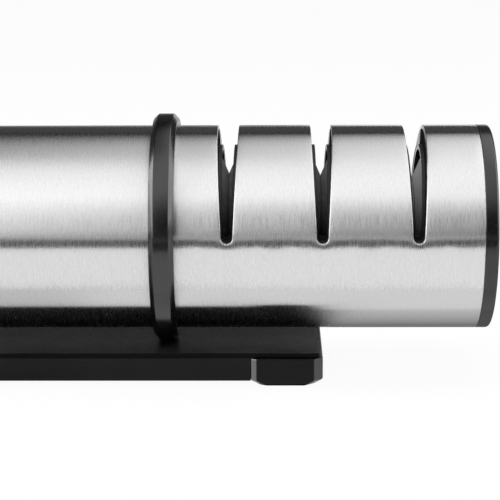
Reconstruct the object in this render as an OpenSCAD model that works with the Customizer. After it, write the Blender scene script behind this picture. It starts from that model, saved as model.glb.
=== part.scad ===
// Pull-through knife sharpener: a slotted steel tube that is head and handle in one,
// held by two collars on a low black base. Three pairs of abrasive wheels turn inside it.
// X runs along the tube towards the slots, Y is the way a blade is drawn, Z is up.
// The origin is on the table, under the middle of the tube.

/* [Tube] */
// Outer diameter of the steel tube
tube_d = 50; // [48:0.5:56]
// Length of the steel tube without its end caps
tube_l = 204; // [190:1:230]
// Wall thickness of the steel tube
tube_wall = 0.9; // [0.6:0.1:1.2]

/* [End caps] */
// Thickness of a cap outside the tube
cap_t = 3.2; // [2:0.1:5]
// Radius of the cap's rounded rim
cap_rim_r = 0.8; // [0.4:0.1:1.5]
// How far a cap's spigot reaches into the tube
spigot_l = 3; // [2:0.1:3.5]

/* [Knife slots] */
// Distance from the head end of the tube to the nearest slot
slot_inset = 15.5; // [15:0.1:20]
// Distance between neighbouring slots
slot_pitch = 22.5; // [21.5:0.1:25]
// Width of a slot in the tube, level with the tube's axis
slot_w = 2.6; // [2.4:0.1:3.2]
// Lean of each side of a slot, in degrees
slot_lean = 2.8; // [2:0.1:4]
// Height of a slot's lowest point above the tube's axis
slot_floor = 0.1; // [-3:0.1:1]
// Width of the cartridge's own slot, level with the tube's axis
liner_w = 1.95; // [1.7:0.05:2.3]
// Lean of each side of the cartridge's slot, in degrees
liner_lean = 1.6; // [1:0.1:2]
// How far the cartridge stands up above the floor of the tube's slot
liner_step = 0.8; // [0.6:0.1:2]
// Depth from the tube's outside to the step where the cartridge's slot grows narrower
mouth_deep = 4.8; // [3:0.1:5]

/* [Wheels] */
// How much smaller a wheel's radius is than the tube's bore
wheel_room = 9.3; // [8.6:0.1:11]
// Depth of the V between the rims of the coarse stage
coarse_groove_deep = 4; // [3.5:0.1:5.6]
// Depth of the V between the rims of the fine stage
fine_groove_deep = 4.5; // [3.5:0.1:5.6]
// Depth of the V between the rims of the honing stage
hone_groove_deep = 5.3; // [3.5:0.1:5.6]
// Lean of each face of the V, in degrees
groove_lean = 24; // [16:1:26]
// Outer radius of the hub that carries a pair of wheels
hub_r = 4; // [3.5:0.1:5]
// How far the hub stands out past the wheel at each end
hub_stand = 0.85; // [0.4:0.05:1.5]
// Radius of an axle
axle_r = 2; // [1.5:0.1:2.5]
// Height of the axles above the tube's axis
axle_rise = 2.5; // [1:0.1:3]
// Thickness of the spacer at each end of a hub
spacer_t = 2.65; // [2.2:0.05:3]

/* [Cartridge] */
// Length of the pocket round each pair of wheels
pocket_l = 18; // [17:0.1:18.5]
// Room between a wheel's rim and its pocket
pocket_gap = 1.7; // [1:0.1:2]
// Thickness of the cartridge's wall next to the handle
end_web = 3.3; // [2.5:0.1:5]

/* [Collars] */
// How far a collar stands proud of the tube
ring_proud = 2.9; // [2:0.1:4]
// Width of a collar on the tube
ring_w = 5.9; // [5:0.1:9]
// Size of the chamfer on each outer edge of a collar
ring_chamfer = 1.15; // [0.5:0.05:1.5]
// Distance from the cartridge's handle end to the middle of the head collar
ring_setback = 3; // [2.9:0.1:6]
// Distance from the tail end of the tube to the middle of the tail collar
tail_inset = 30; // [28:0.5:44]
// Length of the plug inside the tube behind each collar
plug_l = 18; // [14:0.5:24]

/* [Base] */
// Half of the base's width
base_half_w = 18.3; // [14:0.1:24]
// Distance from the middle of the head collar to the heel of the head foot
head_foot_space = 20.7; // [8:0.1:30]
// Distance from the middle of the tail collar to the heel of the tail foot
tail_foot_space = 7; // [6:0.5:8]
// Thickness of the top plate
plate_t = 1.2; // [1:0.1:2]
// Depth of the shallow curve in each end of the top plate
end_hollow = 0.6; // [0.3:0.1:1]
// Height of the tray under the top plate
tray_h = 5.6; // [5:0.1:8]
// Wall thickness of the tray
tray_wall = 1.8; // [1.4:0.1:2.4]
// Number of ribs across the underside of the tray
tray_ribs = 5; // [2:1:9]
// Height of the tray's lower edge above the table
tray_lift = 1.2; // [0.8:0.1:2]

/* [Feet] */
// Length of a foot along the base
foot_l = 17.4; // [14:0.1:20]
// How far a foot stands out past the long side of the base
foot_proud = 1.2; // [1:0.1:3]
// How far a foot stands out past the corners of the top plate
foot_toe = 0.8; // [0.5:0.1:2.5]
// Height of the bevel round a foot's sole
sole_bevel = 1.4; // [0.8:0.1:2]

/* [Screws] */
// Radius of a collar screw's shank
ring_screw_r = 1.5; // [1.25:0.05:1.75]
// Radius of a cartridge screw's shank
cartridge_screw_r = 1.25; // [1:0.05:1.5]

/* [Hidden] */
$fn = 96;

// Clearances: parts that are pushed together, fixed parts that touch, parts that turn
slide_gap = 0.1;
seat_gap = 0.05;
run_gap = 0.05;
side_gap = 0.3;
// Overrun of every cut past the face that it opens
cut = 1;

// Tube and caps
tube_r = tube_d / 2;
bore_r = tube_r - tube_wall;
liner_r = bore_r - slide_gap;
seam_turn = 60;

// Places along the tube. Stage 0 is the coarse one, nearest the handle
head_x = tube_l / 2;
stage_x = [for (stage = [0 : 2]) head_x - slot_inset - (2 - stage) * slot_pitch];
cartridge_x1 = head_x - spigot_l - seat_gap;
cartridge_x0 = stage_x[0] - pocket_l / 2 - end_web;
head_ring_x = cartridge_x0 - ring_setback;
tail_ring_x = tail_inset - tube_l / 2;
body_x1 = head_ring_x + head_foot_space;
body_x0 = tail_ring_x - tail_foot_space;
base_x1 = body_x1 + foot_l;
base_x0 = body_x0 - foot_l;

// Heights
ring_r = tube_r + ring_proud;
ring_seat = 0.15;
tray_top = tray_lift + tray_h;
base_top = tray_top + plate_t;
axis_z = base_top + ring_r - ring_seat;
axle_z = axis_z + axle_rise;

// Wheels and axles. A hub and its two spacers fill the pocket, and its two wheels fill the hub
wheel_r = bore_r - wheel_room;
groove_deep = [coarse_groove_deep, fine_groove_deep, hone_groove_deep];
wheel_split = 0.1;
hub_l = pocket_l - 2 * (spacer_t + side_gap + seat_gap);
wheel_t = hub_l / 2 - hub_stand - wheel_split / 2;
pocket_r = wheel_r + pocket_gap;
axle_seat_share = 0.42;
axle_seat = min(slot_pitch - pocket_l, end_web) * axle_seat_share;
axle_l = pocket_l + 2 * axle_seat - 2 * seat_gap;
axle_chamfer = 0.3;
wheel_dish_t = 1.6;
wheel_dish_in = 2.2;
wheel_dish_out = 3;
coarse_shade = [0.3, 0.3, 0.31];
fine_shade = [0.38, 0.38, 0.39];
hone_shade = [0.62, 0.61, 0.58];
spacer_r = 4.4;

// Plugs: a blind rim with four cored pockets between cross ribs
plug_rim = 3;
plug_rib = 8;
plug_floor = 4;

// Screws: a collar screw runs up through the base, collar and tube into a plug
ring_head_r = 2.8;
ring_head_t = 1.8;
ring_head_gap = 0.3;
ring_grip = 8;
ring_head_seat = tray_lift + ring_head_t + 2 * ring_head_gap;
ring_boss_r = 4.7;
cartridge_head_r = 2.3;
cartridge_head_t = 1.6;
cartridge_grip = 7;
cartridge_screw_drop_share = 0.77;
cross_w_share = 0.24;
cross_l_share = 1.1;
cross_deep_share = 0.6;

// Base: the plate's stakes go down through the tray, the tray's tongues into the feet
corner_r = 0.6;
tray_step = 0.15;
stake_r = 1.5;
stake_l = 3.2;
stake_inset = 7;
rib_t = 1.2;
rib_h = 4.2;
tongue_drop = 1.2;
tongue_t = 3;
foot_skin = 2.6;
foot_facet_out = 1.5;
foot_facet_toe = 2.2;
sole_inset = 0.8;
sole_run = 2.4;

// Half width of a slot at height z above the tube's axis
function slot_half(w, lean, z) = w / 2 + z * tan(lean);

// Turns a shape whose axis is Z so that its axis runs along X
module along_x(x = 0, z = 0) {
    translate([x, 0, z]) rotate([0, 90, 0]) children();
}

// Outline of a slot with a round bottom and leaning sides, drawn across X with its height on Y
module slot_outline(low, w, lean) {
    centre = (low + slot_half(w, lean, 0)) / (1 - tan(lean));
    round_r = slot_half(w, lean, centre);
    top = tube_r + cut;
    top_half = slot_half(w, lean, top);
    translate([0, centre]) circle(r = round_r);
    polygon([[-round_r, centre], [round_r, centre], [top_half, top], [-top_half, top]]);
}

// The three slots as solids that cut right through the tube from above
module slots(low, w, lean) {
    reach = tube_r + cut;
    for (x = stage_x)
        translate([x, reach, axis_z]) rotate([90, 0, 0])
            linear_extrude(height = 2 * reach) slot_outline(low, w, lean);
}

// Flat outline with round corners
module rounded_rect(x0, x1, half_w, r) {
    translate([x0 + r, -half_w]) square([x1 - x0 - 2 * r, 2 * half_w]);
    translate([x0, r - half_w]) square([x1 - x0, 2 * half_w - 2 * r]);
    for (x = [x0 + r, x1 - r])
        for (y = [r - half_w, half_w - r])
            translate([x, y]) circle(r = r, $fn = 32);
}

// Screw with its head below the origin and its shank standing up along Z
module screw(shank_r, shank_l, head_r, head_t) {
    cylinder(r = shank_r, h = shank_l);
    difference() {
        translate([0, 0, -head_t]) cylinder(r = head_r, h = head_t);
        for (turn = [0, 90])
            translate([0, 0, -head_t]) rotate([0, 0, turn])
                cube([head_r * cross_l_share, head_r * cross_w_share, head_t * cross_deep_share * 2],
                     center = true);
    }
}

// Vertical hole for the collar screw at one collar
module ring_screw_hole(x, z0, z1) {
    translate([x, 0, z0]) cylinder(r = ring_screw_r + seat_gap, h = z1 - z0);
}

// The tube's weld seam lies low at the back, clear of the slots and the screw holes
module steel_tube() {
    color("silver") difference() {
        along_x(-tube_l / 2, axis_z) rotate([0, 0, seam_turn])
            cylinder(r = tube_r, h = tube_l, $fn = 180);
        along_x(-tube_l / 2 - cut, axis_z) rotate([0, 0, seam_turn])
            cylinder(r = bore_r, h = tube_l + 2 * cut, $fn = 180);
        slots(slot_floor, slot_w, slot_lean);
        for (x = [head_ring_x, tail_ring_x])
            ring_screw_hole(x, axis_z - tube_r - cut, axis_z - bore_r + cut);
    }
}

// End cap with a rounded rim and a spigot that fills the tube's mouth. Side is 1 at the head, -1 at the tail
module cap(side) {
    color([0.16, 0.16, 0.17])
        translate([side * tube_l / 2, 0, axis_z]) rotate([0, side * 90, 0]) rotate_extrude($fn = 180) {
            square([tube_r, cap_t - cap_rim_r]);
            square([tube_r - cap_rim_r, cap_t]);
            translate([tube_r - cap_rim_r, cap_t - cap_rim_r]) circle(r = cap_rim_r, $fn = 48);
            translate([0, -spigot_l]) square([liner_r, spigot_l + seat_gap]);
        }
}

// One half of the cartridge that holds the wheels. It parts along the tube's middle; side is -1 in front.
// Its slots are as wide as the tube's down to a step, and narrower below it
module cartridge(side) {
    screw_z = axis_z - liner_r * cartridge_screw_drop_share;
    length = cartridge_x1 - cartridge_x0;
    color([0.1, 0.1, 0.11]) difference() {
        intersection() {
            along_x(cartridge_x0, axis_z) cylinder(r = liner_r, h = length, $fn = 180);
            translate([cartridge_x0 - cut, side < 0 ? -liner_r - cut : seat_gap / 2, axis_z - liner_r - cut])
                cube([length + 2 * cut, liner_r + cut - seat_gap / 2, 2 * (liner_r + cut)]);
        }
        slots(slot_floor + liner_step, liner_w, liner_lean);
        difference() {
            slots(slot_floor, slot_w, slot_lean);
            along_x(cartridge_x0 - cut, axis_z)
                cylinder(r = tube_r - mouth_deep, h = length + 2 * cut, $fn = 180);
        }
        for (x = stage_x) {
            along_x(x - pocket_l / 2, axle_z) cylinder(r = pocket_r, h = pocket_l);
            along_x(x - pocket_l / 2 - axle_seat, axle_z)
                cylinder(r = axle_r + seat_gap, h = pocket_l + 2 * axle_seat);
            translate([x, -liner_r, screw_z]) rotate([-90, 0, 0])
                cylinder(r = cartridge_screw_r + seat_gap, h = liner_r + cartridge_grip + seat_gap);
            if (side < 0)
                translate([x, -liner_r, screw_z]) rotate([-90, 0, 0])
                    cylinder(r = cartridge_head_r + seat_gap, h = liner_r - cartridge_grip);
        }
    }
}

module cartridge_screws() {
    screw_z = axis_z - liner_r * cartridge_screw_drop_share;
    color("dimgray") for (x = stage_x)
        translate([x, -cartridge_grip, screw_z]) rotate([-90, 0, 0])
            screw(cartridge_screw_r, 2 * cartridge_grip, cartridge_head_r, cartridge_head_t);
}

// Plug inside the tube. Its lower rib takes the collar screw; x is the middle of the collar
module plug(x0, ring_x) {
    pocket_out = liner_r - plug_rim;
    color([0.13, 0.13, 0.14]) difference() {
        along_x(x0, axis_z) cylinder(r = liner_r, h = plug_l, $fn = 180);
        difference() {
            along_x(x0 - cut, axis_z) cylinder(r = pocket_out, h = plug_l - plug_floor + cut);
            for (turn = [0, 90])
                along_x(x0, axis_z) rotate([0, 0, turn])
                    cube([2 * liner_r, plug_rib, 2 * plug_l], center = true);
        }
        ring_screw_hole(ring_x, axis_z - liner_r - cut, axis_z - liner_r + ring_grip + seat_gap);
    }
}

// Collar round the tube with a chamfer on both outer edges
module ring(x) {
    inner_r = tube_r + seat_gap;
    color([0.15, 0.15, 0.16]) difference() {
        along_x(x, axis_z) rotate_extrude($fn = 180) polygon([
            [inner_r, -ring_w / 2],
            [ring_r - ring_chamfer, -ring_w / 2],
            [ring_r, ring_chamfer - ring_w / 2],
            [ring_r, ring_w / 2 - ring_chamfer],
            [ring_r - ring_chamfer, ring_w / 2],
            [inner_r, ring_w / 2]
        ]);
        ring_screw_hole(x, base_top - ring_seat - cut, axis_z - tube_r + cut);
    }
}

module ring_screws() {
    shank_l = axis_z - liner_r + ring_grip - ring_head_seat;
    color("dimgray") for (x = [head_ring_x, tail_ring_x])
        translate([x, 0, ring_head_seat]) screw(ring_screw_r, shank_l, ring_head_r, ring_head_t);
}

// Places of the four stakes that hold the plate down on the tray
module at_stakes() {
    for (x = [body_x0 + stake_inset, body_x1 - stake_inset])
        for (y = [stake_inset - base_half_w, base_half_w - stake_inset])
            translate([x, y]) children();
}

module base_plate() {
    plate_x0 = base_x0 + foot_toe;
    plate_x1 = base_x1 - foot_toe;
    end_r = (base_half_w * base_half_w + end_hollow * end_hollow) / (2 * end_hollow);
    color([0.17, 0.17, 0.18]) difference() {
        union() {
            translate([0, 0, tray_top]) linear_extrude(height = plate_t)
                difference() {
                    rounded_rect(plate_x0, plate_x1, base_half_w, corner_r);
                    for (x = [plate_x0 + end_hollow - end_r, plate_x1 - end_hollow + end_r])
                        translate([x, 0]) circle(r = end_r, $fn = 180);
                }
            translate([0, 0, tray_top - stake_l]) linear_extrude(height = stake_l + plate_t / 2)
                at_stakes() circle(r = stake_r);
        }
        for (x = [head_ring_x, tail_ring_x]) {
            along_x(x - ring_w / 2 - seat_gap, axis_z)
                cylinder(r = ring_r + seat_gap, h = ring_w + 2 * seat_gap, $fn = 180);
            ring_screw_hole(x, tray_top - cut, base_top + cut);
        }
    }
}

// Hollow tray under the plate. It ends in a flat tongue inside each foot
module base_tray() {
    rib_step = (head_ring_x - tail_ring_x) / (tray_ribs + 1);
    tongue_half_w = base_half_w - foot_skin;
    tongue_z = tray_top - tongue_drop - tongue_t;
    side = base_half_w + tray_step;
    color([0.12, 0.12, 0.13]) difference() {
        union() {
            difference() {
                translate([body_x0, -side, tray_lift]) cube([body_x1 - body_x0, 2 * side, tray_h]);
                translate([body_x0 + tray_wall, tray_wall - side, tray_lift - cut])
                    cube([body_x1 - body_x0 - 2 * tray_wall, 2 * side - 2 * tray_wall,
                          tray_h - tray_wall + cut]);
            }
            for (x = [head_ring_x, tail_ring_x])
                translate([x, 0, tray_lift]) cylinder(r = ring_boss_r, h = tray_h);
            for (rib = [1 : tray_ribs])
                translate([tail_ring_x + rib * rib_step - rib_t / 2, tray_wall / 2 - side, tray_top - rib_h])
                    cube([rib_t, 2 * side - tray_wall, rib_h - tray_wall / 2]);
            translate([base_x0 + foot_skin, -tongue_half_w, tongue_z])
                cube([tray_wall + foot_l - foot_skin, 2 * tongue_half_w, tongue_t]);
            translate([body_x1 - tray_wall, -tongue_half_w, tongue_z])
                cube([tray_wall + foot_l - foot_skin, 2 * tongue_half_w, tongue_t]);
        }
        for (x = [head_ring_x, tail_ring_x]) {
            ring_screw_hole(x, tray_lift - cut, tray_top + cut);
            translate([x, 0, tray_lift - cut])
                cylinder(r = ring_head_r + ring_head_gap, h = ring_head_seat - tray_lift + cut);
        }
        translate([0, 0, tray_top - stake_l - cut]) linear_extrude(height = stake_l + 2 * cut)
            at_stakes() circle(r = stake_r + seat_gap);
    }
}

// Plan outline of a foot, its toe at the origin and its heel at -foot_l
module foot_outline(run, inset) {
    out = base_half_w + foot_proud - inset;
    heel = -foot_l + run;
    heel_half_w = base_half_w + tray_step - inset;
    toe_half_w = out - foot_facet_toe;
    polygon([
        [heel, -heel_half_w], [heel + foot_facet_out, -out], [-foot_facet_toe - run, -out],
        [-run, -toe_half_w], [-run, toe_half_w], [-foot_facet_toe - run, out],
        [heel + foot_facet_out, out], [heel, heel_half_w]
    ]);
}

// Rubber foot that is pushed over the tray's tongue, with facets at its corners and a bevelled sole
module foot(side) {
    tongue_half_w = base_half_w - foot_skin;
    tongue_z = tray_top - tongue_drop - tongue_t;
    leaf = 0.01;
    color([0.09, 0.09, 0.1])
        translate([side > 0 ? base_x1 : base_x0, 0, 0]) mirror([side > 0 ? 0 : 1, 0, 0]) difference() {
            union() {
                translate([0, 0, sole_bevel]) linear_extrude(height = tray_top - sole_bevel)
                    foot_outline(0, 0);
                hull() {
                    translate([0, 0, sole_bevel]) linear_extrude(height = leaf) foot_outline(0, 0);
                    linear_extrude(height = leaf) foot_outline(sole_run, sole_inset);
                }
            }
            translate([-foot_l - cut, -tongue_half_w - slide_gap, tongue_z - slide_gap])
                cube([foot_l - foot_skin + slide_gap + cut, 2 * (tongue_half_w + slide_gap),
                      tongue_t + 2 * slide_gap]);
        }
}

// Fixed axle of one stage, with a small chamfer at both ends
module axle(stage) {
    color("lightgray") along_x(stage_x[stage], axle_z) rotate_extrude() polygon([
        [0, -axle_l / 2], [axle_r - axle_chamfer, -axle_l / 2], [axle_r, axle_chamfer - axle_l / 2],
        [axle_r, axle_l / 2 - axle_chamfer], [axle_r - axle_chamfer, axle_l / 2], [0, axle_l / 2]
    ]);
}

// Sleeve that turns on the axle and carries both wheels of a stage
module hub(stage) {
    color([0.2, 0.2, 0.21]) along_x(stage_x[stage], axle_z) difference() {
        translate([0, 0, -hub_l / 2]) cylinder(r = hub_r, h = hub_l);
        translate([0, 0, -hub_l / 2 - cut]) cylinder(r = axle_r + run_gap, h = hub_l + 2 * cut);
    }
}

// Abrasive wheel with a leaning face towards the slot and a dished back. Side is 1 on the head's side
module wheel(stage, side, shade) {
    start = wheel_split / 2;
    shoulder = start + groove_deep[stage] * tan(groove_lean);
    bore = hub_r + seat_gap;
    color(shade) along_x(stage_x[stage], axle_z) mirror([0, 0, side > 0 ? 0 : 1])
        rotate_extrude($fn = 120) polygon([
            [bore, start], [wheel_r - groove_deep[stage], start], [wheel_r, shoulder],
            [wheel_r, start + wheel_t], [wheel_r - wheel_dish_out, start + wheel_t],
            [wheel_r - wheel_dish_out, start + wheel_t - wheel_dish_t],
            [bore + wheel_dish_in, start + wheel_t - wheel_dish_t],
            [bore + wheel_dish_in, start + wheel_t], [bore, start + wheel_t]
        ]);
}

// Two rings on the axle that keep a pair of wheels in line with its slot
module spacers(stage) {
    color([0.75, 0.75, 0.72]) for (side = [-1, 1])
        along_x(stage_x[stage], axle_z) mirror([0, 0, side > 0 ? 0 : 1])
            translate([0, 0, hub_l / 2 + side_gap]) difference() {
                cylinder(r = spacer_r, h = spacer_t);
                translate([0, 0, -cut]) cylinder(r = axle_r + seat_gap, h = spacer_t + 2 * cut);
            }
}

steel_tube();
cap(1);  // head_cap
cap(-1);  // tail_cap
cartridge(-1);  // cartridge_front
cartridge(1);  // cartridge_back
cartridge_screws();
plug(cartridge_x0 - seat_gap - plug_l, head_ring_x);  // head_plug
plug(tail_ring_x - plug_l / 2, tail_ring_x);  // tail_plug
ring(head_ring_x);  // head_ring
ring(tail_ring_x);  // tail_ring
ring_screws();
base_plate();
base_tray();
foot(1);  // head_foot
foot(-1);  // tail_foot
axle(0);  // coarse_axle
hub(0);  // coarse_hub
wheel(0, -1, coarse_shade);  // coarse_wheel_inner
wheel(0, 1, coarse_shade);  // coarse_wheel_outer
spacers(0);  // coarse_spacers
axle(1);  // fine_axle
hub(1);  // fine_hub
wheel(1, -1, fine_shade);  // fine_wheel_inner
wheel(1, 1, fine_shade);  // fine_wheel_outer
spacers(1);  // fine_spacers
axle(2);  // hone_axle
hub(2);  // hone_hub
wheel(2, -1, hone_shade);  // hone_wheel_inner
wheel(2, 1, hone_shade);  // hone_wheel_outer
spacers(2);  // hone_spacers
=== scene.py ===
import bmesh
import bpy
import math
from mathutils import Matrix, Vector


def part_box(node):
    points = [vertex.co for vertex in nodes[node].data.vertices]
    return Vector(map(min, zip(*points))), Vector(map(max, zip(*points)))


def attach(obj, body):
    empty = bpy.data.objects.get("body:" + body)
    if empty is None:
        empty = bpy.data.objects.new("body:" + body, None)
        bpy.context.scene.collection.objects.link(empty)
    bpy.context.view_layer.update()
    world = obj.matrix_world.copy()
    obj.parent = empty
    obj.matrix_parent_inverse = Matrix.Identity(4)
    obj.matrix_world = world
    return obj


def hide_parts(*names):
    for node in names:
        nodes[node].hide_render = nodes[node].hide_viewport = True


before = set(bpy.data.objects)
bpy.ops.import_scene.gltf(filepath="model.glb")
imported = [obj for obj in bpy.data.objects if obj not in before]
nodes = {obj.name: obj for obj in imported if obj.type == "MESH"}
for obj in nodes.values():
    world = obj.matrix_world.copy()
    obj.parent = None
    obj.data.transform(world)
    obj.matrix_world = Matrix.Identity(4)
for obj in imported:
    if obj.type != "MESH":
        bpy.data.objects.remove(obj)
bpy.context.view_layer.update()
mm = 0.001

# the tube's own box gives its axis, its radius and its two ends
tubeLow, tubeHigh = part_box("steel_tube")
tubeR = (tubeHigh.y - tubeLow.y) / 2
axisZ = (tubeHigh.z + tubeLow.z) / 2
tubeX0 = tubeLow.x
tubeX1 = tubeHigh.x
stages = ("coarse", "fine", "hone")


def middleX(node):
    low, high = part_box(node)
    return (low.x + high.x) / 2


stageX = [middleX(stage + "_axle") for stage in stages]
axleLow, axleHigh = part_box("coarse_axle")
axleZ = (axleLow.z + axleHigh.z) / 2
print("frame loaded:", len(nodes), "nodes")


# the camera stands where the photograph's did
cameraSet = {
    "place": (54.0, -421.99, 74.41),  # mm from the tube's axis, over the origin
    "yaw": -1.009, "pitch": 10.786, "roll": -0.279,  # degrees
    "lens": 124.62, "sensor": 36.0,
}


def makeCamera(c):
    yaw, pitch, roll = (math.radians(c[k]) for k in ("yaw", "pitch", "roll"))
    ahead = Vector((math.sin(yaw) * math.cos(pitch), math.cos(yaw) * math.cos(pitch), -math.sin(pitch)))
    right = ahead.cross(Vector((0, 0, 1))).normalized()
    up = right.cross(ahead)
    rightRolled = math.cos(roll) * right + math.sin(roll) * up
    upRolled = math.cos(roll) * up - math.sin(roll) * right
    data = bpy.data.cameras.new("camera")
    data.lens = c["lens"]
    data.sensor_width = c["sensor"]
    camera = bpy.data.objects.new("camera", data)
    turn = Matrix((rightRolled, upRolled, -ahead)).transposed()
    place = Vector(c["place"]) * mm + Vector((0, 0, axisZ))
    camera.matrix_world = Matrix.Translation(place) @ turn.to_4x4()
    bpy.context.scene.collection.objects.link(camera)
    bpy.context.scene.camera = camera


makeCamera(cameraSet)
bpy.context.scene.view_settings.view_transform = "Standard"
print("camera placed")


# node and material helpers
def addNode(tree, kind, inputs=None, **settings):
    node = tree.nodes.new("ShaderNode" + kind)
    for key, value in settings.items():
        setattr(node, key, value)
    for key, value in (inputs or {}).items():
        if isinstance(value, bpy.types.NodeSocket):
            tree.links.new(value, node.inputs[key])
        else:
            node.inputs[key].default_value = value
    return node


def grey(level):
    return (level, level, level, 1)


def startMaterial(name):
    material = bpy.data.materials.new(name)
    material.use_nodes = True
    tree = material.node_tree
    shader = tree.nodes["Principled BSDF"]
    return material, tree, shader


def coordsInMm(tree):
    coords = addNode(tree, "TexCoord")
    inputs = {"Vector": coords.outputs["Object"], "Scale": (1 / mm, 1 / mm, 1 / mm)}
    return addNode(tree, "Mapping", inputs).outputs["Vector"]


def ramp(tree, factor, stops):
    node = addNode(tree, "ValToRGB", {"Fac": factor})
    elements = node.color_ramp.elements
    while len(elements) < len(stops):
        elements.new(0.5)
    for element, (at, level) in zip(elements, stops):
        element.position = at
        element.color = grey(level)
    return node.outputs["Color"]


def mapRange(tree, value, low, high, fromLow=0.0, fromHigh=1.0):
    return addNode(tree, "MapRange", {"Value": value, "From Min": fromLow, "From Max": fromHigh,
                                      "To Min": low, "To Max": high}).outputs["Result"]


def eased(tree, value, ends):
    # 0 at the first end, 1 at the second, with a soft step between
    node = addNode(tree, "MapRange", {"Value": value, "From Min": ends[0], "From Max": ends[1]},
                   interpolation_type="SMOOTHSTEP")
    return node.outputs["Result"]


def times(tree, *values):
    result = values[0]
    for value in values[1:]:
        result = addNode(tree, "Math", {0: result, 1: value}, operation="MULTIPLY").outputs[0]
    return result


def noise(tree, vector, scale, detail, rough=0.5):
    return addNode(tree, "TexNoise", {"Vector": vector, "Scale": scale, "Detail": detail,
                                      "Roughness": rough}).outputs["Fac"]


def bump(tree, shader, height, strength, distance):
    node = addNode(tree, "Bump", {"Height": height, "Strength": strength, "Distance": distance * mm})
    tree.links.new(node.outputs["Normal"], shader.inputs["Normal"])


# materials; a noise texture stays mostly between these two levels
noiseLow, noiseHigh = 0.3, 0.7

steel = {
    "base": 0.70, "toneSpread": 0.014, "rough": 0.28, "roughSpread": 0.03, "anisotropic": 1.0,
    "grainTurn": 0.25,  # of a whole turn: the sheen spreads along the tube
    "streakWide": 0.22, "streakLong": 4.5, "grainWide": 0.07, "grainLong": 1.6,  # mm
    "streakDetail": 2.0, "grainDetail": 1.0,
    "bothLow": 0.7, "bothHigh": 1.3,  # streaks and grain together stay between these
    "bump": 0.024, "depth": 0.02,
}


def brushedSteel(s):
    # rolled sheet, brushed round the tube: fine streaks that run round it
    material, tree, shader = startMaterial("brushedSteel")
    coords = addNode(tree, "TexCoord")
    split = addNode(tree, "SeparateXYZ", {"Vector": coords.outputs["Object"]})
    height = addNode(tree, "Math", {0: split.outputs["Z"], 1: axisZ}, operation="SUBTRACT").outputs[0]
    angle = addNode(tree, "Math", {0: split.outputs["Y"], 1: height}, operation="ARCTAN2").outputs[0]
    around = times(tree, angle, tubeR)

    def streaks(wide, long, detail):
        along = times(tree, split.outputs["X"], 1 / (wide * mm))
        turn = times(tree, around, 1 / (long * mm))
        vector = addNode(tree, "CombineXYZ", {"X": along, "Y": turn}).outputs[0]
        return noise(tree, vector, 1.0, detail)

    broad = streaks(s["streakWide"], s["streakLong"], s["streakDetail"])
    fine = streaks(s["grainWide"], s["grainLong"], s["grainDetail"])
    both = addNode(tree, "Math", {0: broad, 1: fine}, operation="ADD").outputs[0]
    tone = mapRange(tree, both, s["base"] - s["toneSpread"], s["base"] + s["toneSpread"],
                    s["bothLow"], s["bothHigh"])
    colour = addNode(tree, "CombineColor", {"Red": tone, "Green": tone, "Blue": tone})
    tree.links.new(colour.outputs["Color"], shader.inputs["Base Color"])
    rough = mapRange(tree, broad, s["rough"] - s["roughSpread"], s["rough"] + s["roughSpread"],
                     noiseLow, noiseHigh)
    tree.links.new(rough, shader.inputs["Roughness"])
    shader.inputs["Metallic"].default_value = 1.0
    shader.inputs["Anisotropic"].default_value = s["anisotropic"]
    shader.inputs["Anisotropic Rotation"].default_value = s["grainTurn"]
    tangent = addNode(tree, "Tangent", direction_type="RADIAL", axis="X")
    tree.links.new(tangent.outputs["Tangent"], shader.inputs["Tangent"])
    bump(tree, shader, both, s["bump"], s["depth"])
    return material


metal = {
    "dark": 0.85, "light": 1.1, "smoother": 0.7, "rougher": 1.3,  # shares of the base and roughness
    "detail": 3.0, "bump": 0.2, "depth": 0.02,
}


def plainMetal(name, base, rough, grain):
    # screws and axles: faint specks of tone and roughness
    material, tree, shader = startMaterial(name)
    m = metal
    speck = noise(tree, coordsInMm(tree), grain, m["detail"])
    tone = ramp(tree, speck, [(noiseLow, base * m["dark"]), (noiseHigh, base * m["light"])])
    tree.links.new(tone, shader.inputs["Base Color"])
    shade = mapRange(tree, speck, rough * m["smoother"], rough * m["rougher"], noiseLow, noiseHigh)
    tree.links.new(shade, shader.inputs["Roughness"])
    shader.inputs["Metallic"].default_value = 1.0
    bump(tree, shader, speck, m["bump"], m["depth"])
    return material


mould = {
    "sparkDetail": 2.0, "sparkRough": 0.6, "cloudScale": 0.06, "cloudDetail": 3.0,
    "smoother": 0.06, "rougher": 0.08, "bump": 0.6,
}


def moulded(name, tone, rough, grain=2.2, depth=0.012, mottle=0.25, specular=0.5):
    # moulded black plastic or rubber: fine spark texture, slightly mottled tone
    material, tree, shader = startMaterial(name)
    m = mould
    vector = coordsInMm(tree)
    spark = noise(tree, vector, grain, m["sparkDetail"], m["sparkRough"])
    cloud = noise(tree, vector, grain * m["cloudScale"], m["cloudDetail"])
    shade = ramp(tree, cloud, [(noiseLow, tone * (1 - mottle)), (noiseHigh, tone * (1 + mottle))])
    tree.links.new(shade, shader.inputs["Base Color"])
    satin = mapRange(tree, spark, rough - m["smoother"], rough + m["rougher"], noiseLow, noiseHigh)
    tree.links.new(satin, shader.inputs["Roughness"])
    shader.inputs["Specular IOR Level"].default_value = specular
    bump(tree, shader, spark, m["bump"], depth)
    return material


coat = {
    "cloudScale": 0.12, "cloudDetail": 3.0, "lightAt": 0.05, "darkAt": 0.45,
    "specular": 0.12, "grainEdge": 0.8, "bump": 0.8,
}


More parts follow.
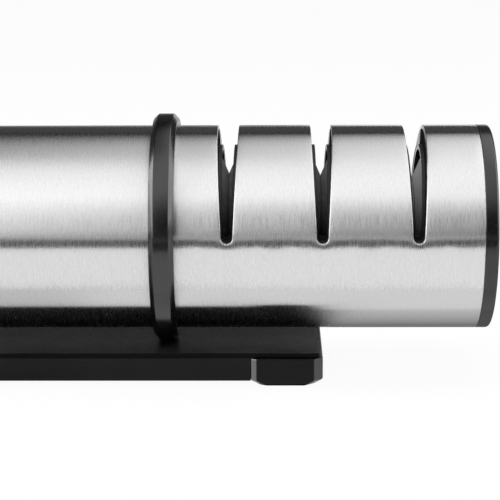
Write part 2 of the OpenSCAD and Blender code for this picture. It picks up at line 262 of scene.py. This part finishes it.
def grit(name, dark, light, grain, depth, rough=0.75):
    # abrasive coat: packed grains with darker bond between them
    material, tree, shader = startMaterial(name)
    c = coat
    vector = coordsInMm(tree)
    away = addNode(tree, "TexVoronoi", {"Vector": vector, "Scale": grain}).outputs["Distance"]
    cloud = noise(tree, vector, grain * c["cloudScale"], c["cloudDetail"])
    tone = ramp(tree, times(tree, away, cloud), [(c["lightAt"], light), (c["darkAt"], dark)])
    tree.links.new(tone, shader.inputs["Base Color"])
    shader.inputs["Roughness"].default_value = rough
    shader.inputs["Specular IOR Level"].default_value = c["specular"]
    bump(tree, shader, mapRange(tree, away, 1, 0, 0, c["grainEdge"]), c["bump"], depth)
    return material


def facing(tree, axis, low, high, against=False):
    # 1 where a face looks along an axis or against it, or only against it, and 0 elsewhere
    split = addNode(tree, "SeparateXYZ", {"Vector": addNode(tree, "TexCoord").outputs["Normal"]})
    if against:
        return mapRange(tree, split.outputs[axis], 1, 0, -high, -low)
    size = addNode(tree, "Math", {0: split.outputs[axis]}, operation="ABSOLUTE").outputs[0]
    return mapRange(tree, size, 0, 1, low, high)


# the plate's tone, and the painted shade on its edge
plate = {
    "tone": 0.039, "edgeShadeShare": 0.05,  # share of the tone that the painted shade leaves on the edge
    "edge": 0.4, "flat": 0.9,  # how far up a face looks on the edge and on the top
}


def paintedEdgeShade(material, p):
    # painted shade: full tone on the flat top, a darker tone painted on the thin upright edge
    tree = material.node_tree
    shader = tree.nodes["Principled BSDF"]
    flat = facing(tree, "Z", p["edge"], p["flat"])
    tone = shader.inputs["Base Color"].links[0].from_socket
    share = mapRange(tree, flat, p["edgeShadeShare"], 1)
    scaled = addNode(tree, "VectorMath", {0: tone, "Scale": share}, operation="SCALE").outputs[0]
    tree.links.new(scaled, shader.inputs["Base Color"])
    return material


foot = {
    "specular": 0.18, "bevelSpecular": 0.9, "polishIor": 1.9,
    "face": 0.3, "bevel": 0.6,  # how far along X a front face and a bevel look
}


def glossyCorners(material, f):
    # the bevels at the corners come out of the mould smooth, those that look towards -X polished
    tree = material.node_tree
    shader = tree.nodes["Principled BSDF"]
    bevel = facing(tree, "X", f["face"], f["bevel"])
    shine = mapRange(tree, bevel, f["specular"], f["bevelSpecular"])
    tree.links.new(shine, shader.inputs["Specular IOR Level"])
    polished = facing(tree, "X", f["face"], f["bevel"], against=True)
    tree.links.new(polished, shader.inputs["Coat Weight"])
    shader.inputs["Coat IOR"].default_value = f["polishIor"]
    return material


guide = {
    "tone": 0.004, "rough": 0.18, "specular": 0.9,
    # the painted shade in the front of the mouth: its grey, its roughness and where it lies
    "paintedShadeTone": 0.035, "paintedShadeRough": 0.9,
    "paintedShadeFrom": 20.1, "paintedShadeTo": 20.3,  # mm from the tube's axis
    "frontEnds": (9, 4),  # mm of Y: smooth behind the first, painted shade in front of the second
}


def guidePlastic(g):
    # smooth black plastic in the guides; the front of their wide mouth gets painted shade, a dull flat grey
    # that does not reflect
    material = moulded("cartridgePlastic", g["tone"], g["rough"], grain=1.4, depth=0.003)
    tree = material.node_tree
    shader = tree.nodes["Principled BSDF"]
    split = addNode(tree, "SeparateXYZ", {"Vector": addNode(tree, "TexCoord").outputs["Object"]})
    height = addNode(tree, "Math", {0: split.outputs["Z"], 1: axisZ}, operation="SUBTRACT").outputs[0]
    across = addNode(tree, "CombineXYZ", {"X": split.outputs["Y"], "Y": height}).outputs[0]
    radius = addNode(tree, "VectorMath", {0: across}, operation="LENGTH").outputs["Value"]
    front = eased(tree, split.outputs["Y"], [y * mm for y in g["frontEnds"]])
    # painted shade: a band at the mouth's distance from the axis, in front only
    paintedShade = times(tree, mapRange(tree, radius, 0, 1, g["paintedShadeFrom"] * mm, g["paintedShadeTo"] * mm), front)
    tree.links.new(mapRange(tree, paintedShade, g["specular"], 0), shader.inputs["Specular IOR Level"])
    smooth = shader.inputs["Roughness"].links[0].from_socket
    dull = times(tree, paintedShade, g["paintedShadeRough"])
    rough = addNode(tree, "Math", {0: smooth, 1: dull}, operation="MAXIMUM").outputs[0]
    tree.links.new(rough, shader.inputs["Roughness"])
    tone = ramp(tree, paintedShade, [(0, g["tone"]), (1, g["paintedShadeTone"])])
    tree.links.new(tone, shader.inputs["Base Color"])
    return material


finishes = {
    "tube_steel": brushedSteel(steel),
    "cap_black": moulded("capPlastic", tone=0.003, rough=0.20, grain=1.6, depth=0.005, specular=0.7),
    "collar_black": moulded("collarPlastic", tone=0.003, rough=0.19, grain=2.0, depth=0.008, specular=0.85),
    # the cartridge's mouths carry a band of painted shade
    "cartridge_black": guidePlastic(guide),
    # the plate's thin edge is darkened with painted shade
    "plate_black": paintedEdgeShade(moulded("platePlastic", plate["tone"], rough=0.36, grain=1.8, depth=0.014,
                                     mottle=0.3, specular=0.08), plate),
    "tray_black": moulded("trayPlastic", tone=0.005, rough=0.34, grain=1.8, specular=0.19),
    "foot_rubber": glossyCorners(moulded("footRubber", tone=0.004, rough=0.36, grain=1.2, depth=0.006,
                                         specular=foot["specular"]), foot),
    "screw_zinc": plainMetal("zincScrew", base=0.55, rough=0.30, grain=3.0),
    "axle_steel": plainMetal("axleSteel", base=0.62, rough=0.22, grain=4.0),
    "hub_nylon": moulded("hubNylon", tone=0.03, rough=0.40),
    "spacer_nylon": moulded("spacerNylon", tone=0.62, rough=0.45, mottle=0.05),
    "coarse_grit": grit("coarseGrit", dark=0.14, light=0.32, grain=5.0, depth=0.05),
    "fine_grit": grit("fineGrit", dark=0.15, light=0.33, grain=8.0, depth=0.03),
    "hone_ceramic": grit("honeCeramic", dark=0.48, light=0.66, grain=12.0, depth=0.012, rough=0.55),
}
print("materials made:", len(finishes))


def finishOf(piece, slot):
    piece.data.materials.clear()
    piece.data.materials.append(finishes[slot])


def standFor(piece, node, slot, body="frame"):
    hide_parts(node)
    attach(piece, body)
    finishOf(piece, slot)


# mesh helpers
def meshPiece(name, points, faces, smooth=True):
    mesh = bpy.data.meshes.new(name)
    mesh.from_pydata([Vector(p) for p in points], [], faces)
    mesh.validate()
    mesh.update()
    if smooth:
        mesh.shade_smooth()
    piece = bpy.data.objects.new(name, mesh)
    bpy.context.scene.collection.objects.link(piece)
    return piece


def fillet(profile, radius, steps=3, most=0.45, least=1e-6):
    # rounds each corner of a closed outline of (along, out) points, over at most this share of a side
    result = []
    count = len(profile)
    for i, point in enumerate(profile):
        corner = Vector(point)
        before = Vector(profile[i - 1]) - corner
        after = Vector(profile[(i + 1) % count]) - corner
        r = min(radius, before.length * most, after.length * most)
        if r <= least:
            result.append(corner)
            continue
        a = corner + before.normalized() * r
        b = corner + after.normalized() * r
        for k in range(steps + 1):
            t = k / steps
            result.append(a * (1 - t) ** 2 + corner * (2 * t * (1 - t)) + b * t ** 2)
    return result


def lathe(name, profile, x, z, turns):
    # turns a closed outline of (along X, radius) points in mm round an axis along X
    points, faces = [], []
    ring = len(profile)
    for k in range(turns):
        a = 2 * math.pi * k / turns
        for along, out in profile:
            points.append((x + along * mm, out * mm * math.cos(a), z + out * mm * math.sin(a)))
    for k in range(turns):
        n = (k + 1) % turns
        for i in range(ring):
            j = (i + 1) % ring
            faces.append((k * ring + i, k * ring + j, n * ring + j, n * ring + i))
    piece = meshPiece(name, points, faces)
    tidy(piece)
    return piece


merging = {"samePoint": 1e-7, "thinFace": 1e-8, "crease": 35}  # metres, metres, degrees


def tidy(piece):
    # merges doubled points, turns faces outwards and keeps real edges crisp
    m = merging
    b = bmesh.new()
    b.from_mesh(piece.data)
    bmesh.ops.remove_doubles(b, verts=b.verts, dist=m["samePoint"])
    bmesh.ops.dissolve_degenerate(b, edges=b.edges, dist=m["thinFace"])
    bmesh.ops.recalc_face_normals(b, faces=b.faces)
    b.to_mesh(piece.data)
    b.free()
    piece.data.shade_smooth()
    piece.data.set_sharp_from_angle(angle=math.radians(m["crease"]))


softening = {
    "steps": 3, "samePoint": 1e-6,  # metres
    "sharp": 30, "crease": 25, "flat": 0.5,  # degrees
}


def softened(node, radius):
    # a copy of a CAD solid with its sharp edges really rounded
    s = softening
    mesh = nodes[node].data.copy()
    mesh.name = node + "_soft"
    piece = bpy.data.objects.new(node + "_soft", mesh)
    bpy.context.scene.collection.objects.link(piece)
    b = bmesh.new()
    b.from_mesh(mesh)
    bmesh.ops.remove_doubles(b, verts=b.verts, dist=s["samePoint"])
    bmesh.ops.dissolve_limit(b, angle_limit=math.radians(s["flat"]), verts=b.verts, edges=b.edges)
    sharp = math.radians(s["sharp"])
    keen = [e for e in b.edges if len(e.link_faces) == 2 and e.calc_face_angle(0) > sharp]
    bmesh.ops.bevel(b, geom=keen, offset=radius * mm, offset_type="OFFSET", segments=s["steps"],
                    profile=0.5, affect="EDGES", clamp_overlap=True, harden_normals=False)
    b.to_mesh(mesh)
    b.free()
    mesh.shade_smooth()
    mesh.set_sharp_from_angle(angle=math.radians(s["crease"]))
    piece.modifiers.new("evenNormals", "WEIGHTED_NORMAL").keep_sharp = True
    return piece


# the tube: its skin is laid out flat in (x, turn), with a ring of faces round each slot
tube = {
    "wall": 0.9, "slotWide": 2.6, "slotLean": 2.8, "slotFloor": 0.1,  # as the CAD solid
    "roll": 0.17, "rollSteps": 4,  # the rolled edge of a slot
    "sag": 0.05, "sagReach": 0.8,  # the sheet dips a little towards each slot
    "ringAt": (0.4, 0.8, 1.3, 1.8, 2.5, 3.4, 4.6, 6.2),  # mm from the slot's edge
    "sideSteps": 120, "endSteps": 24, "below": -20, "lowSteps": 80,
    "endRound": 0.22, "endRings": 4, "plainStep": 6.0,
    "pointGrid": 1e7,  # to a metre: points that fall on the same one are one point
}


def slotHalf(t, z):
    return t["slotWide"] / 2 + z * math.tan(math.radians(t["slotLean"]))


def slotLoop(t, r):
    # (x, turn) in mm and radians round one slot at radius r, turn 0 in front and 90 degrees on top
    steps = t["sideSteps"]
    ends = t["endSteps"]
    lean = math.tan(math.radians(t["slotLean"]))
    centre = (t["slotFloor"] + slotHalf(t, 0)) / (1 - lean)
    roundR = slotHalf(t, centre)
    low = math.asin(centre / r)
    side = [low + (math.pi - 2 * low) * k / steps for k in range(steps + 1)]
    left = [(-slotHalf(t, r * math.sin(a)), a) for a in side]
    end = []
    for k in range(1, ends):
        turn = math.pi + math.pi * k / ends
        end.append((roundR * math.cos(turn), math.asin((centre + roundR * math.sin(turn)) / r)))
    back = [(x, math.pi - a) for x, a in end]
    right = [(-x, a) for x, a in reversed(left)]
    return left + back + right + end[::-1], side


def frameLoop(t, side, reach):
    # the outline of the patch round a slot, point for point with slotLoop
    ends = t["endSteps"]
    quarter = ends // 4
    low = side[0]
    below = math.radians(t["below"])
    end = []
    for k in range(1, ends):
        if k < quarter:
            end.append((-reach, low + (below - low) * k / quarter))
        elif k <= ends - quarter:
            end.append((-reach + 2 * reach * (k - quarter) / (ends - 2 * quarter), below))
        else:
            end.append((reach, low + (below - low) * (ends - k) / quarter))
    left = [(-reach, a) for a in side]
    back = [(x, math.pi - a) for x, a in end]
    right = [(reach, a) for a in reversed(side)]
    return left + back + right + end[::-1]


def buildTube(t):
    points, faces, known = [], [], {}
    outR = tubeR / mm
    inR = outR - t["wall"]
    x0 = tubeX0 / mm
    x1 = tubeX1 / mm
    middles = [x / mm for x in stageX]
    reach = (middles[1] - middles[0]) / 2

    def point(x, turn, r):
        place = (x * mm, -r * math.cos(turn) * mm, axisZ + r * math.sin(turn) * mm)
        key = tuple(round(c * t["pointGrid"]) for c in place)
        if key not in known:
            known[key] = len(points)
            points.append(place)
        return known[key]

    def quad(*corners):
        ids = []
        for c in corners:
            if c not in ids:
                ids.append(c)
        if len(ids) > 2:
            faces.append(ids)

    def strip(ringA, ringB):
        for k in range(len(ringA)):
            n = (k + 1) % len(ringA)
            quad(ringA[k], ringA[n], ringB[n], ringB[k])

    def radiusAt(x, r, outer):
        if not outer:
            return r
        gap = min(x - x0, x1 - x)
        if gap >= t["endRound"]:
            return r
        return r - t["endRound"] + math.sqrt(max(t["endRound"] ** 2 - (t["endRound"] - gap) ** 2, 0))

    def skin(r, outer):
        hole = slotLoop(t, r)[0]
        outline = frameLoop(t, sideTurns, reach)
        roll = t["roll"] if outer else 0
        for middle in middles:
            rings = []
            if outer:
                for k in range(t["rollSteps"] + 1):
                    turn = math.pi / 2 * k / t["rollSteps"]
                    rings.append((roll * (1 - math.cos(turn)), roll * (1 - math.sin(turn))))
            else:
                rings.append((0, 0))
            rings += [(d, 0) for d in t["ringAt"]]
            made = []
            for away, deep in rings:
                ring = []
                for (hx, ha), (fx, fa) in zip(hole, outline):
                    share = away / math.hypot(fx - hx, (fa - ha) * r)
                    dip = t["sag"] * math.exp(-max(away - roll, 0) / t["sagReach"]) if outer else 0
                    if away == 0:
                        dip = t["sag"]
                    x = middle + hx + (fx - hx) * share
                    ring.append(point(x, ha + (fa - ha) * share, r - deep - dip))
                made.append(ring)
            made.append([point(middle + fx, fa, r) for fx, fa in outline])
            for ringA, ringB in zip(made, made[1:]):
                strip(ringA, ringB)
            slotRings.append(made[0])
        below = math.radians(t["below"])
        quarter = t["endSteps"] // 4
        low = sideTurns[0]
        front = [below + (low - below) * k / quarter for k in range(quarter)]
        upper = front + sideTurns + [math.pi - a for a in reversed(front)]
        under = math.pi + 2 * below
        lower = [math.pi - below + under * k / t["lowSteps"] for k in range(t["lowSteps"] + 1)]
        blocks = []
        for middle in middles:
            count = t["endSteps"] - 2 * quarter
            blocks += [middle - reach + 2 * reach * k / count for k in range(count + 1)]
        plain = [columns(x0, middles[0] - reach), columns(middles[2] + reach, x1)]
        whole = plain[0] + blocks + plain[1]
        for across, turns in [(plain[0], upper), (plain[1], upper), (whole, lower)]:
            across = sorted(set(round(x, 6) for x in across))
            for xa, xb in zip(across, across[1:]):
                for ta, tb in zip(turns, turns[1:]):
                    quad(point(xa, ta, radiusAt(xa, r, outer)), point(xb, ta, radiusAt(xb, r, outer)),
                         point(xb, tb, radiusAt(xb, r, outer)), point(xa, tb, radiusAt(xa, r, outer)))
        return upper + lower[1:]

    def columns(a, b):
        count = max(2, round((b - a) / t["plainStep"]))
        xs = [a + (b - a) * k / count for k in range(count + 1)]
        for k in range(1, t["endRings"] + 1):
            inwards = t["endRound"] * (1 - math.cos(math.pi / 2 * k / t["endRings"]))
            if a == x0:
                xs.append(x0 + inwards)
            if b == x1:
                xs.append(x1 - inwards)
        return xs

    slotRings = []
    sideTurns = slotLoop(t, outR)[1]
    turns = skin(outR, True)
    skin(inR, False)
    for outer, inner in zip(slotRings[:3], slotRings[3:]):
        strip(outer, inner)
    for x in (x0, x1):
        rim = outR - t["endRound"]
        for ta, tb in zip(turns, turns[1:]):
            quad(point(x, ta, rim), point(x, tb, rim), point(x, tb, inR), point(x, ta, inR))
    piece = meshPiece("tube_brushed", points, faces)
    tidy(piece)
    return piece


standFor(buildTube(tube), "steel_tube", "tube_steel")
print("tube built")


# the step in the cartridge's mouth has a soft edge all round each slot
lip = {
    "radius": 20.2, "slotWide": 1.95, "slotLean": 1.6, "slotFloor": 0.9,  # as the CAD solid
    "sideSteps": 120, "endSteps": 24,
    "bead": 0.10, "beadSteps": 3, "sunk": 0.7,  # radius in mm, and how much of it lies in the step
}


def lipBead(name, middle):
    loop = slotLoop(lip, lip["radius"])[0]
    curve = bpy.data.curves.new(name, "CURVE")
    curve.dimensions = "3D"
    curve.bevel_depth = lip["bead"] * mm
    curve.bevel_resolution = lip["beadSteps"]
    spline = curve.splines.new("POLY")
    spline.points.add(len(loop) - 1)
    spline.use_cyclic_u = True
    r = lip["radius"] - lip["bead"] * lip["sunk"]
    for spot, (x, turn) in zip(spline.points, loop):
        spot.co = (middle + x * mm, -r * math.cos(turn) * mm, axisZ + r * math.sin(turn) * mm, 1)
    holder = bpy.data.objects.new(name, curve)
    mesh = bpy.data.meshes.new_from_object(holder)
    bpy.data.objects.remove(holder)
    piece = bpy.data.objects.new(name, mesh)
    bpy.context.scene.collection.objects.link(piece)
    tidy(piece)
    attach(piece, "frame")
    finishOf(piece, "cartridge_black")


for stage, middle in zip(stages, stageX):
    lipBead(stage + "_slot_lip", middle)
print("slot lips built")


# turned pieces: caps, collars and wheels
cap = {
    "thick": 3.2, "spigot": 3.0, "spigotR": 24.0, "edge": 0.12,
    "rim": 0.8, "rimSteps": 8,  # the rounded rim
    "faceRing": 0.5, "turns": 192,
}


def buildCap(name, x, side):
    c = cap
    r = tubeR / mm
    rim = []
    for k in range(c["rimSteps"] + 1):
        turn = math.pi / 2 * k / c["rimSteps"]
        along = c["thick"] - c["rim"] + c["rim"] * math.sin(turn)
        rim.append((along, r - c["rim"] + c["rim"] * math.cos(turn)))
    profile = [(-c["spigot"], 0), (-c["spigot"], c["spigotR"]), (0, c["spigotR"]), (0, r - c["edge"]),
               (c["edge"], r)] + rim + [(c["thick"], r * c["faceRing"]), (c["thick"], 0)]
    return lathe(name, [(side * along, out) for along, out in profile], x, axisZ, c["turns"])


standFor(buildCap("head_cap_satin", tubeX1, 1), "head_cap", "cap_black")
standFor(buildCap("tail_cap_satin", tubeX0, -1), "tail_cap", "cap_black")

collar = {"wide": 5.9, "proud": 2.9, "gap": 0.05, "chamfer": 1.15, "edge": 0.16, "turns": 240}


def buildCollar(name, x):
    c = collar
    inner = tubeR / mm + c["gap"]
    outer = tubeR / mm + c["proud"]
    half = c["wide"] / 2
    profile = [(-half, inner), (-half, outer - c["chamfer"]), (c["chamfer"] - half, outer),
               (half - c["chamfer"], outer), (half, outer - c["chamfer"]), (half, inner)]
    return lathe(name, fillet(profile, c["edge"]), x, axisZ, c["turns"])


for name in ("head_ring", "tail_ring"):
    standFor(buildCollar(name + "_chamfered", middleX(name)), name, "collar_black")

wheel = {
    "split": 0.1, "thick": 5.1, "rimR": 14.8, "boreR": 4.05,
    "lean": 24, "deep": (4.0, 4.5, 5.3),  # degrees and mm of the V, coarse to hone
    "dishIn": 2.2, "dishOut": 3.0, "dishDeep": 1.6, "edge": 0.12, "edgeSteps": 2, "turns": 144,
}
gritSlots = ("coarse_grit", "fine_grit", "hone_ceramic")


def buildWheel(stage, side):
    w = wheel
    deep = w["deep"][stage]
    start = w["split"] / 2
    end = start + w["thick"]
    shoulder = start + deep * math.tan(math.radians(w["lean"]))
    dishFloor = end - w["dishDeep"]
    dishIn = w["boreR"] + w["dishIn"]
    dishOut = w["rimR"] - w["dishOut"]
    profile = [(start, w["boreR"]), (start, w["rimR"] - deep), (shoulder, w["rimR"]), (end, w["rimR"]),
               (end, dishOut), (dishFloor, dishOut), (dishFloor, dishIn), (end, dishIn), (end, w["boreR"])]
    node = stages[stage] + ("_wheel_outer" if side > 0 else "_wheel_inner")
    rounded = fillet(profile, w["edge"], w["edgeSteps"])
    profile = [(side * along, out) for along, out in rounded]
    piece = lathe(node + "_ground", profile, stageX[stage], axleZ, w["turns"])
    standFor(piece, node, gritSlots[stage], stages[stage] + "_wheels")


for stage in range(len(stages)):
    for side in (-1, 1):
        buildWheel(stage, side)
print("caps, collars and wheels turned")


# base pieces: the CAD solids with their edges rounded
rounding = {"base_plate": 0.16, "base_tray": 0.22, "head_foot": 0.32, "tail_foot": 0.32}  # mm
baseSlots = {"base_plate": "plate_black", "base_tray": "tray_black",
             "head_foot": "foot_rubber", "tail_foot": "foot_rubber"}
for node, radius in rounding.items():
    standFor(softened(node, radius), node, baseSlots[node])
print("base rounded")


# inner pieces keep their CAD shape and get their finish
kept = {
    "cartridge_front": "cartridge_black", "cartridge_back": "cartridge_black",
    "head_plug": "cartridge_black", "tail_plug": "cartridge_black",
    "cartridge_screws": "screw_zinc", "ring_screws": "screw_zinc",
}
for stage in stages:
    kept[stage + "_axle"] = "axle_steel"
    kept[stage + "_hub"] = "hub_nylon"
    kept[stage + "_spacers"] = "spacer_nylon"
for node, slot in kept.items():
    nodes[node].data.materials.clear()
    nodes[node].data.materials.append(finishes[slot])
print("kept nodes finished:", len(kept))


# studio: floor, soft light, and the cards that the steel mirrors
studio = {
    "floorTone": 0.95, "floorMottle": 0.985, "floorGrain": 0.4, "floorDetail": 3.0,
    "floorRough": 0.9, "floorSpecular": 0.1, "floorHalf": 3.0,
    "floorWhite": 0.95,  # how much of the floor is plain white to the camera, the rest takes the shadow
    "worldLight": 0.36,
    "keyPower": 7.6, "keyWide": 0.9, "keyDeep": 0.6, "keyPlace": (0.1, -0.02, 0.9), "keyTilt": 1,
}


def stageCard(name, points, faces, material, shows=("glossy",)):
    card = meshPiece(name, points, faces, smooth=False)
    card.data.materials.append(material)
    for ray in ("camera", "diffuse", "glossy", "transmission", "shadow", "volume_scatter"):
        setattr(card, "visible_" + ray, ray in shows)


def floorMaterial(s):
    material, tree, shader = startMaterial("floorPaper")
    grain = noise(tree, coordsInMm(tree), s["floorGrain"], s["floorDetail"])
    low = s["floorTone"] * s["floorMottle"]
    tone = ramp(tree, grain, [(noiseLow, low), (noiseHigh, s["floorTone"])])
    tree.links.new(tone, shader.inputs["Base Color"])
    shader.inputs["Roughness"].default_value = s["floorRough"]
    shader.inputs["Specular IOR Level"].default_value = s["floorSpecular"]
    path = addNode(tree, "LightPath")
    white = addNode(tree, "Emission", {"Color": grey(1.0), "Strength": 1.0})
    share = times(tree, path.outputs["Is Camera Ray"], s["floorWhite"])
    mix = addNode(tree, "MixShader", {"Fac": share})
    tree.links.new(shader.outputs[0], mix.inputs[1])
    tree.links.new(white.outputs[0], mix.inputs[2])
    tree.links.new(mix.outputs[0], tree.nodes["Material Output"].inputs["Surface"])
    return material


def glow(name, level):
    material = bpy.data.materials.new(name)
    material.use_nodes = True
    tree = material.node_tree
    tree.nodes.remove(tree.nodes["Principled BSDF"])
    light = addNode(tree, "Emission", {"Color": grey(1.0), "Strength": level})
    tree.links.new(light.outputs[0], tree.nodes["Material Output"].inputs["Surface"])
    return material, tree, light


half = studio["floorHalf"]
floorCorners = [(-half, -half, 0), (half, -half, 0), (half, half, 0), (-half, half, 0)]
stageCard("floor", floorCorners, [(0, 1, 2, 3)], floorMaterial(studio),
          ("camera", "diffuse", "glossy", "transmission", "shadow"))

# a big curved soft light over the tube; turn 0 is level in front, 90 overhead, 180 level behind
dome = {
    "radius": 1.1, "halfLong": 1.6, "from": -3, "to": 137, "steps": 70,
    "skew": 45.0, "skewFrom": -0.024,  # the light hangs askew: degrees of turn per metre of X
    # brightness at some turns, in degrees
    "glow": (
        (-14, 0.52), (1, 0.69), (8, 0.69), (17, 0.75), (28, 0.97), (40, 1.16), (52, 1.27), (64, 1.23),
        (77, 1.18), (92, 1.07), (108, 0.95), (119, 0.63), (127, 0.27), (133, 0.07), (145, 0.01),
    ),
    # the gap in front, where the camera stands, and the light to its left; metres of X and degrees of turn
    "gapLeft": (-0.38, -0.16), "gapRight": (1.5, 1.2), "gapTop": (46, 14), "gapDeep": 0.85,
    "sideEdge": (-0.20, -0.42), "sideTop": (50, 20), "sideGain": 0.85,
    # over the top the left half is dimmer and the right half brighter
    "overGap": (0.16, -0.14), "overEdge": (0.05, 0.30), "overFrom": (72, 100),
    "overDeep": 0.62, "overGain": 0.36,
}


def buildDome(d):
    points, faces = [], []
    for k in range(d["steps"] + 1):
        turn = math.radians(d["from"] + (d["to"] - d["from"]) * k / d["steps"])
        for x in (-d["halfLong"], d["halfLong"]):
            points.append((x, -d["radius"] * math.cos(turn), axisZ + d["radius"] * math.sin(turn)))
    for k in range(d["steps"]):
        faces.append((2 * k, 2 * k + 1, 2 * k + 3, 2 * k + 2))
    material, tree, light = glow("domeLight", 1.0)
    coords = addNode(tree, "TexCoord")
    split = addNode(tree, "SeparateXYZ", {"Vector": coords.outputs["Object"]})
    height = addNode(tree, "Math", {0: split.outputs["Z"], 1: axisZ}, operation="SUBTRACT").outputs[0]
    front = times(tree, split.outputs["Y"], -1.0)
    turn = addNode(tree, "Math", {0: height, 1: front}, operation="ARCTAN2").outputs[0]
    x = split.outputs["X"]

    def easedTurn(ends):
        return eased(tree, turn, [math.radians(a) for a in ends])

    gap = times(tree, eased(tree, x, d["gapLeft"]), eased(tree, x, d["gapRight"]), easedTurn(d["gapTop"]))
    side = times(tree, eased(tree, x, d["sideEdge"]), easedTurn(d["sideTop"]))
    over = easedTurn(d["overFrom"])
    dim = times(tree, over, eased(tree, x, d["overGap"]))
    bright = times(tree, over, eased(tree, x, d["overEdge"]))
    gain = times(tree, mapRange(tree, gap, 1, 1 - d["gapDeep"]), mapRange(tree, side, 1, 1 + d["sideGain"]),
                 mapRange(tree, dim, 1, 1 - d["overDeep"]), mapRange(tree, bright, 1, 1 + d["overGain"]))
    aside = addNode(tree, "Math", {0: x, 1: d["skewFrom"]}, operation="SUBTRACT").outputs[0]
    skewed = addNode(tree, "Math", {0: aside, 1: -math.radians(d["skew"]), 2: turn},
                     operation="MULTIPLY_ADD").outputs[0]
    first, last = d["glow"][0][0], d["glow"][-1][0]
    share = mapRange(tree, skewed, 0, 1, math.radians(first), math.radians(last))
    top = max(level for at, level in d["glow"])
    stops = [((at - first) / (last - first), level / top) for at, level in d["glow"]]
    tree.links.new(ramp(tree, share, stops), light.inputs["Color"])
    tree.links.new(times(tree, gain, top), light.inputs["Strength"])
    stageCard("domeCard", points, faces, material)


buildDome(dome)


def cardCorners(low, high):
    # two opposite corners share one coordinate: the card stands beside the object, stands behind or lies
    (x0, y0, z0), (x1, y1, z1) = low, high
    if x0 == x1:
        return [(x0, y0, z0), (x0, y1, z0), (x0, y1, z1), (x0, y0, z1)]
    if y0 == y1:
        return [(x0, y0, z0), (x1, y0, z0), (x1, y0, z1), (x0, y0, z1)]
    return [(x0, y0, z0), (x1, y0, z0), (x1, y1, z0), (x0, y1, z0)]


lift = 0.0005  # a card that lies is this far above the floor
cards = {
    # dark cards behind, that darken the top of the tube and the top of the plate
    "backFlag": {"low": (-1.6, 0.9, 0.22), "high": (1.6, 0.9, 1.25), "level": 0.065},
    "backLine": {"low": (-1.6, 0.88, 0.74), "high": (1.6, 0.88, 0.86), "level": 0.02},
    "lowFlag": {"low": (-1.6, 0.9, -0.02), "high": (0.09, 0.9, 0.22), "level": 0.34},
    # on the floor in front: the thin dark line in the steel, and the grey above it
    "frontFlag": {"low": (-1.6, -0.37, lift), "high": (1.6, -0.159, lift), "level": 0.02,
                  "shows": ("glossy", "diffuse")},
    "frontGrey": {"low": (-1.6, -1.1, lift), "high": (1.6, -0.37, lift), "level": 0.59},
    # the dark room round the camera: it lets no soft light into the slots from the front
    "cameraShade": {"low": (-1.4, -0.8, 0.0), "high": (1.4, -0.8, 0.6), "level": 0.0, "shows": ("diffuse",)},
    # on the floor close by: the lower part of the steel, and the shade under its free end
    "nearLeft": {"low": (-0.3, -0.034, lift), "high": (0.005, -0.0155, lift), "level": 0.72},
    "nearRight": {"low": (0.005, -0.034, lift), "high": (0.4, -0.0155, lift), "level": 0.90},
    "underFlag": {"low": (0.067, -0.0155, lift), "high": (0.3, 0.15, lift), "level": 1.0,
                  "fade": ((-0.020, 0.82), (0.005, 0.21))},  # Y and level, near and far
    # bright side lights that catch the chamfers
    "leftLight": {"low": (-0.9, -0.7, 0.02), "high": (-0.9, 0.5, 0.8), "level": 4.0},
    "rightLight": {"low": (1.1, -0.7, 0.1), "high": (1.1, 0.5, 1.2), "level": 2.7},
}


def fadeAcross(tree, light, ends):
    # the light changes evenly from one Y to another
    (y0, level0), (y1, level1) = ends
    split = addNode(tree, "SeparateXYZ", {"Vector": addNode(tree, "TexCoord").outputs["Object"]})
    level = mapRange(tree, split.outputs["Y"], level0, level1, y0, y1)
    tree.links.new(level, light.inputs["Strength"])


def placeCard(name, c):
    material, tree, light = glow(name + "Glow", c["level"])
    if "fade" in c:
        fadeAcross(tree, light, c["fade"])
    shows = c.get("shows", ("glossy",))
    stageCard(name, cardCorners(c["low"], c["high"]), [(0, 1, 2, 3)], material, shows)


for name, values in cards.items():
    placeCard(name, values)
print("cards placed:", len(cards))


def makeWorld(level):
    world = bpy.data.worlds.new("studioWorld")
    bpy.context.scene.world = world
    world.use_nodes = True
    tree = world.node_tree
    back = tree.nodes["Background"]
    back.inputs["Color"].default_value = grey(1.0)
    path = addNode(tree, "LightPath")
    seen = path.outputs["Is Camera Ray"]
    for ray in ("Is Glossy Ray", "Is Transmission Ray"):
        seen = addNode(tree, "Math", {0: seen, 1: path.outputs[ray]}, operation="MAXIMUM").outputs[0]
    tree.links.new(mapRange(tree, seen, level, 1.0), back.inputs["Strength"])


makeWorld(studio["worldLight"])


def makeKey(s):
    # the soft light overhead; the steel mirrors the dome and the cards in its place
    key = bpy.data.lights.new("keyLight", "AREA")
    key.shape = "RECTANGLE"
    key.size = s["keyWide"]
    key.size_y = s["keyDeep"]
    key.energy = s["keyPower"]
    lamp = bpy.data.objects.new("keyLight", key)
    lamp.location = s["keyPlace"]
    lamp.rotation_euler = (math.radians(s["keyTilt"]), 0, 0)
    lamp.visible_glossy = False
    bpy.context.scene.collection.objects.link(lamp)


makeKey(studio)
print("studio lit")
